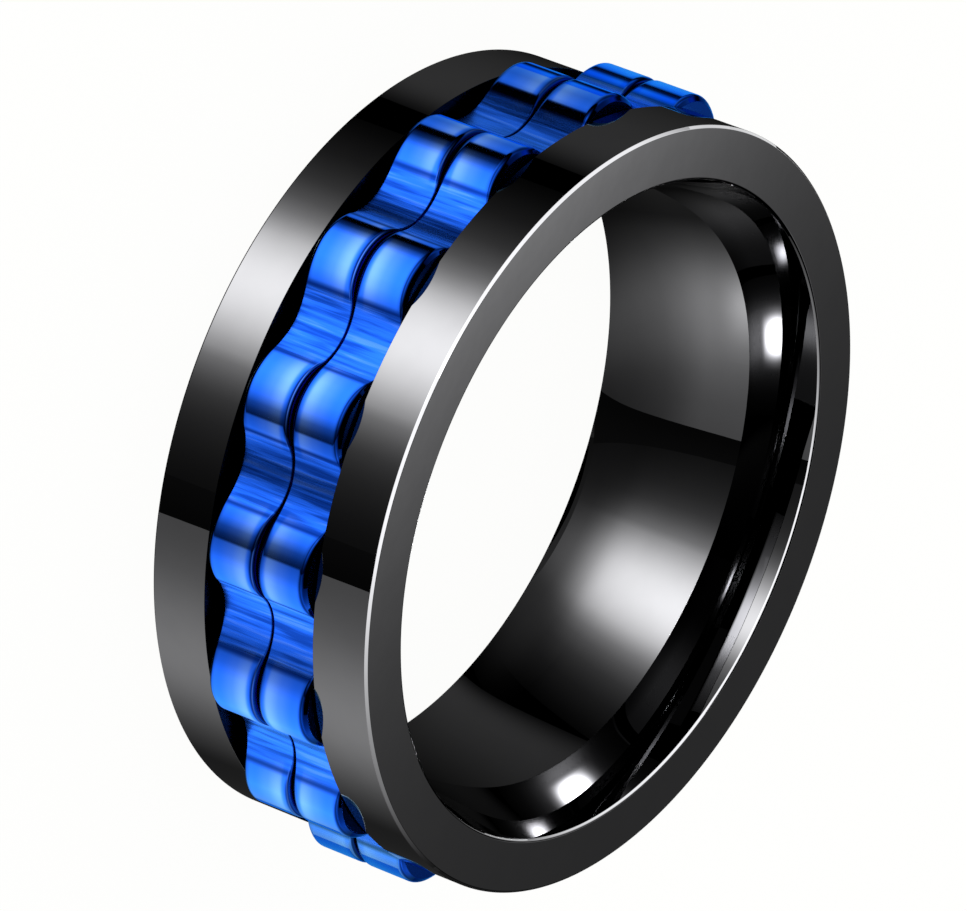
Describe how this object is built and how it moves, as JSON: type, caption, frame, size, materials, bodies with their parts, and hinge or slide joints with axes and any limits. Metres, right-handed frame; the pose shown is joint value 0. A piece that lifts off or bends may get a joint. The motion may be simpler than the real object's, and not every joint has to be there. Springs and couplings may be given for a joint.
{
  "type": "spinner ring",
  "caption": "Polished black comfort-fit band with a channel between its flanges, in which a blue ring with rounded gear-like teeth and a thin centre groove turns freely.",
  "frame": {"origin": "on the ring axis, at the centre of the lower flange face that the ring lies on", "axes": "+Z along the ring axis, up through the flange face that the picture shows; +X through a tooth crest of the spinner"},
  "size_m": [0.025, 0.025, 0.008],
  "materials": {
    "black_plated_steel": "mirror-polished stainless steel with a glossy black plated coat",
    "blue_plated_steel": "polished stainless steel with a metallic royal blue plated coat, fine machining lines in the valleys"
  },
  "bodies": {
    "band": {"band": "black_plated_steel"},
    "spinner": {"spinner": "blue_plated_steel"}
  },
  "joints": [
    {"name": "spinner_spin", "type": "hinge", "parent": "band", "child": "spinner", "pos_m": [0, 0, 0.004], "axis": [0, 0, 1], "continuous": true}
  ]
}
